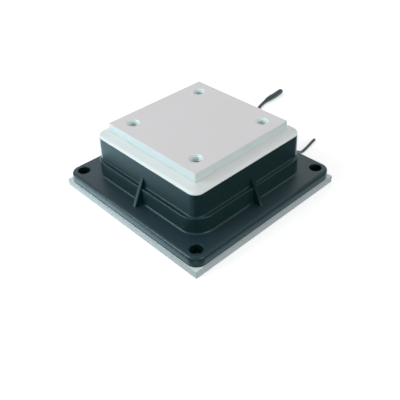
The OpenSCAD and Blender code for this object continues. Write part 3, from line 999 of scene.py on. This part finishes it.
def smooth_curve(name, points, radius, material, radii=None):
    """Round tube along one smooth open spline through the points, in millimetres. Its handles stay a lead's
    radius above the surface that it lies on."""
    curve = bpy.data.curves.new(name, "CURVE")
    curve.dimensions = "3D"
    curve.bevel_depth = radius * MM
    curve.bevel_resolution = LEAD_ROUND_STEPS
    curve.resolution_u = LEAD_LENGTH_STEPS
    curve.use_fill_caps = True
    spline = curve.splines.new("BEZIER")
    spline.bezier_points.add(len(points) - 1)
    knots = [Vector(point[:3]) for point in points]
    for i, knot in enumerate(spline.bezier_points):
        here, before, after = knots[i], knots[max(i - 1, 0)], knots[min(i + 1, len(knots) - 1)]
        along = (after - before).normalized()
        left = here - along * (here - before).length / 3
        right = here + along * (after - here).length / 3
        for handle in (left, right):
            handle.z = max(handle.z, LEAD_D / 2)
        knot.handle_left_type = knot.handle_right_type = "FREE"
        knot.co, knot.handle_left, knot.handle_right = here * MM, left * MM, right * MM
        if radii:
            knot.radius = radii[i] / radius
    curve.materials.append(material)
    return new_object(name, curve)


def leads():
    """Both leads, each as a length inside the frame and a free length, and the sleeve on the red one."""
    for colour, route, material in (("red", RED_ROUTE, LEAD_RED), ("black", BLACK_ROUTE, LEAD_BLACK)):
        slot = "lead_" + colour
        inner = smooth_curve(slot + "_inside", route[:LEAD_EXIT + 1], LEAD_D / 2, material)
        dress(inner)
        free = smooth_curve(slot + "_free", route[LEAD_EXIT:], LEAD_D / 2, material)
        dress(free, replaces=[slot])
    radii = [point[3] for point in SLEEVE_ROUTE]
    sleeve = smooth_curve("shrunk_sleeve", SLEEVE_ROUTE, max(radii), SHRINK_BLACK, radii)
    dress(sleeve, replaces=["shrink_sleeve"])


moulded_frame()
white_collar()
# The plate's top faces get painted light
machined_copy("hot_plate", "plate_machined", PLATE_METAL, face_materials=[(PLATE_TOP_PAINTED_LIGHT, on_top)])
# The block's upright sides and tapped holes get painted light
machined_copy(
    "cold_block", "block_machined", BLOCK_METAL,
    face_materials=[(BLOCK_SIDES_PAINTED_LIGHT, on_side), (TAPPED_METAL_PAINTED_LIGHT, in_tapped_hole)],
)
machined_copy("clamp_screws", "screws_turned", SCREW_STEEL, sharp_deg=30)
bore_threads()
leads()

# Inner pieces keep their CAD shapes
INNER_FINISHES = {
    "insulating_sleeves": SLEEVE_IVORY,
    "hot_grease": GREASE_PASTE,
    "cold_grease": GREASE_PASTE,
    "hot_ceramic": CHIP_CERAMIC,
    "cold_ceramic": CHIP_CERAMIC,
    "hot_bridges": BRIDGE_COPPER,
    "cold_bridges": BRIDGE_COPPER,
    "n_legs": LEG_N,
    "p_legs": LEG_P,
    "chip_seal": SEALANT_WHITE,
    "solder_joints": SOLDER_TIN,
    "foam_fill": FOAM_CREAM,
    "lead_seals": SEALANT_GREY,
}
for label, face_material in INNER_FINISHES.items():
    put_materials(nodes[label].data, face_material)


# Stage, light and camera, in metres


# The floor as the camera sees it, with a glow near the object and another at the floor's edge
FLOOR_HALF = 3.0
FLOOR_TONES = ((0.86, 0.86, 0.86), (0.88, 0.88, 0.88))
FLOOR_GLOW = {"levels": (0.55, 0.8), "span": (0.4, 1.2)}

# The floor in reflections is painted: its own colour is darkened as painted shade, and its painted glow has a
# tint
PLATE_HALF = 0.05
REFLECTION_PAINTED_SHADE = 0.85
REFLECTION_PAINTED_TINT = (0.66, 0.88, 1.0)

# Painted reflections: a wide glow and a bright strip beside the plate, by the reach to the front and by the
# way to the key lamp
TOWARDS_KEY = (-0.9, -0.4)
WIDE_BY_FRONT = {"levels": (0.1, 1.0), "span": (0.0555, 0.061)}
WIDE_BY_WAY = {"levels": (0.0, 1.95), "span": (-0.03, 0.085)}
STRIP_BY_FRONT = {"levels": (2.2, 0.0), "span": (0.0535, 0.0555)}
STRIP_BY_WAY = {"levels": (0.6, 1.5), "span": (-0.05, 0.03)}

# Soft fill of the surroundings, and lamps: name, place, width, watts and tint
FILL = 0.38
LAMP_AIM = (0.0, 0.0, 0.02)
LAMPS = (
    ("key", (-0.4, -0.75, 0.55), 0.45, 4.8, (0.84, 0.98, 1.0)),
    ("side", (0.95, 0.05, 0.3), 0.6, 2.9, (0.98, 1.0, 1.0)),
    ("back", (-0.5, 0.55, 0.75), 0.8, 0.8, (1.0, 0.97, 0.95)),
    ("low", (-0.575, -0.818, 0.1), 0.2, 1.2, (0.84, 0.98, 1.0)),
)

# Camera at the photograph's viewing angle, from a fit to the object's corners. LENS and SENSOR are in mm
LENS = 50.24
SENSOR = 36.0
NEAREST = 0.01
CAMERA_PLACE = (0.1776, -0.1640, 0.1805)
CAMERA_RIGHT = (0.6938, 0.7196, -0.0272)
CAMERA_BACK = (0.5753, -0.5311, 0.6221)


def studio_world():
    """Surroundings that are white to the camera and in reflections, and a soft fill for the rest."""
    world = bpy.data.worlds.new("studio")
    bpy.context.scene.world = world
    world.use_nodes = True
    tree = world.node_tree
    tree.nodes.clear()
    colour = (1.0, 1.0, 1.0, 1.0)
    fill, white = [
        add_node(tree, "ShaderNodeBackground", {"Color": colour, "Strength": strength}).outputs[0]
        for strength in (FILL, 1.0)
    ]
    rays = add_node(tree, "ShaderNodeLightPath").outputs
    seen = maths(tree, "MAXIMUM", rays["Is Camera Ray"], rays["Is Glossy Ray"])
    seen = maths(tree, "MAXIMUM", seen, rays["Is Transmission Ray"])
    mixed = add_node(tree, "ShaderNodeMixShader", {0: seen, 1: fill, 2: white}).outputs[0]
    add_node(tree, "ShaderNodeOutputWorld", {"Surface": mixed})


def studio_floor():
    """Pale floor that keeps the object's shadow. In reflections only, its colour is darkened as painted
    shade, and it glows beside the plate and towards the key lamp as painted reflection.
    """
    mesh = bpy.data.meshes.new("floor")
    corners = [(x * FLOOR_HALF, y * FLOOR_HALF, 0.0) for x, y in ((-1, -1), (1, -1), (1, 1), (-1, 1))]
    mesh.from_pydata(corners, [], [(0, 1, 2, 3)])
    floor = new_object("floor", mesh)
    material, tree, shader, place = blank_material("floor_white")
    rays = add_node(tree, "ShaderNodeLightPath").outputs
    seen = maths(tree, "MAXIMUM", rays["Is Camera Ray"], rays["Is Transmission Ray"])
    mirrored = rays["Is Glossy Ray"]
    x, y, _ = add_node(tree, "ShaderNodeSeparateXYZ", {0: place}).outputs

    mottle = add_node(tree, "ShaderNodeTexNoise", {"Vector": place, "Scale": 4.0, "Detail": 2.0})
    white = shade_between(tree, mottle.outputs["Fac"], *FLOOR_TONES)
    # Painted shade: reflections see the floor's own colour darkened
    base_with_painted_shade = add_node(
        tree,
        "ShaderNodeMix",
        {"Factor": maths(tree, "MULTIPLY", mirrored, REFLECTION_PAINTED_SHADE), 6: white, 7: (0.0, 0.0, 0.0, 1.0)},
        data_type="RGBA",
    ).outputs[2]
    tree.links.new(base_with_painted_shade, shader.inputs["Base Color"])
    shader.inputs["Roughness"].default_value = 0.9
    shader.inputs["Specular IOR Level"].default_value = 0.0

    reach = maths(tree, "MAXIMUM", maths(tree, "ABSOLUTE", x), maths(tree, "ABSOLUTE", y))
    glow = maths(tree, "MULTIPLY", seen, ramp(tree, reach, **FLOOR_GLOW))
    way = maths(
        tree,
        "ADD",
        maths(tree, "MULTIPLY", x, TOWARDS_KEY[0]),
        maths(tree, "MULTIPLY", y, TOWARDS_KEY[1]),
    )
    front = maths(tree, "MAXIMUM", x, maths(tree, "MULTIPLY", y, -1.0))
    wide = maths(tree, "MULTIPLY", ramp(tree, way, **WIDE_BY_WAY), ramp(tree, front, **WIDE_BY_FRONT))
    strip = maths(tree, "MULTIPLY", ramp(tree, way, **STRIP_BY_WAY), ramp(tree, front, **STRIP_BY_FRONT))
    beside = maths(tree, "MULTIPLY", mirrored, maths(tree, "GREATER_THAN", reach, PLATE_HALF))
    # Painted reflection: a glow beside the plate that only reflections see
    painted_reflection_glow = maths(tree, "MULTIPLY", beside, maths(tree, "ADD", wide, strip))
    tint = shade_between(tree, mirrored, (1.0, 1.0, 1.0), REFLECTION_PAINTED_TINT)
    tree.links.new(tint, shader.inputs["Emission Color"])
    tree.links.new(maths(tree, "ADD", glow, painted_reflection_glow), shader.inputs["Emission Strength"])
    mesh.materials.append(material)


def studio_lamps():
    """Square lamps that face the object."""
    for name, place, width, watts, tint in LAMPS:
        lamp = bpy.data.lights.new(name, "AREA")
        lamp.shape = "SQUARE"
        lamp.size = width
        lamp.energy = watts
        lamp.color = tint
        made = new_object(name, lamp)
        made.location = place
        made.rotation_euler = (Vector(LAMP_AIM) - Vector(place)).to_track_quat("-Z", "Y").to_euler()


def camera():
    """Camera at its place, with its axes made square to each other."""
    made = bpy.data.cameras.new("camera")
    made.lens = LENS
    made.sensor_width = SENSOR
    made.clip_start = NEAREST
    back = Vector(CAMERA_BACK).normalized()
    up = back.cross(Vector(CAMERA_RIGHT).normalized()).normalized()
    right = up.cross(back).normalized()
    seat = Matrix((right, up, back)).transposed().to_4x4()
    seat.translation = Vector(CAMERA_PLACE)
    viewer = new_object("camera", made)
    viewer.matrix_world = seat
    bpy.context.scene.camera = viewer


bpy.context.scene.view_settings.view_transform = "Standard"
studio_world()
studio_floor()
studio_lamps()
camera()
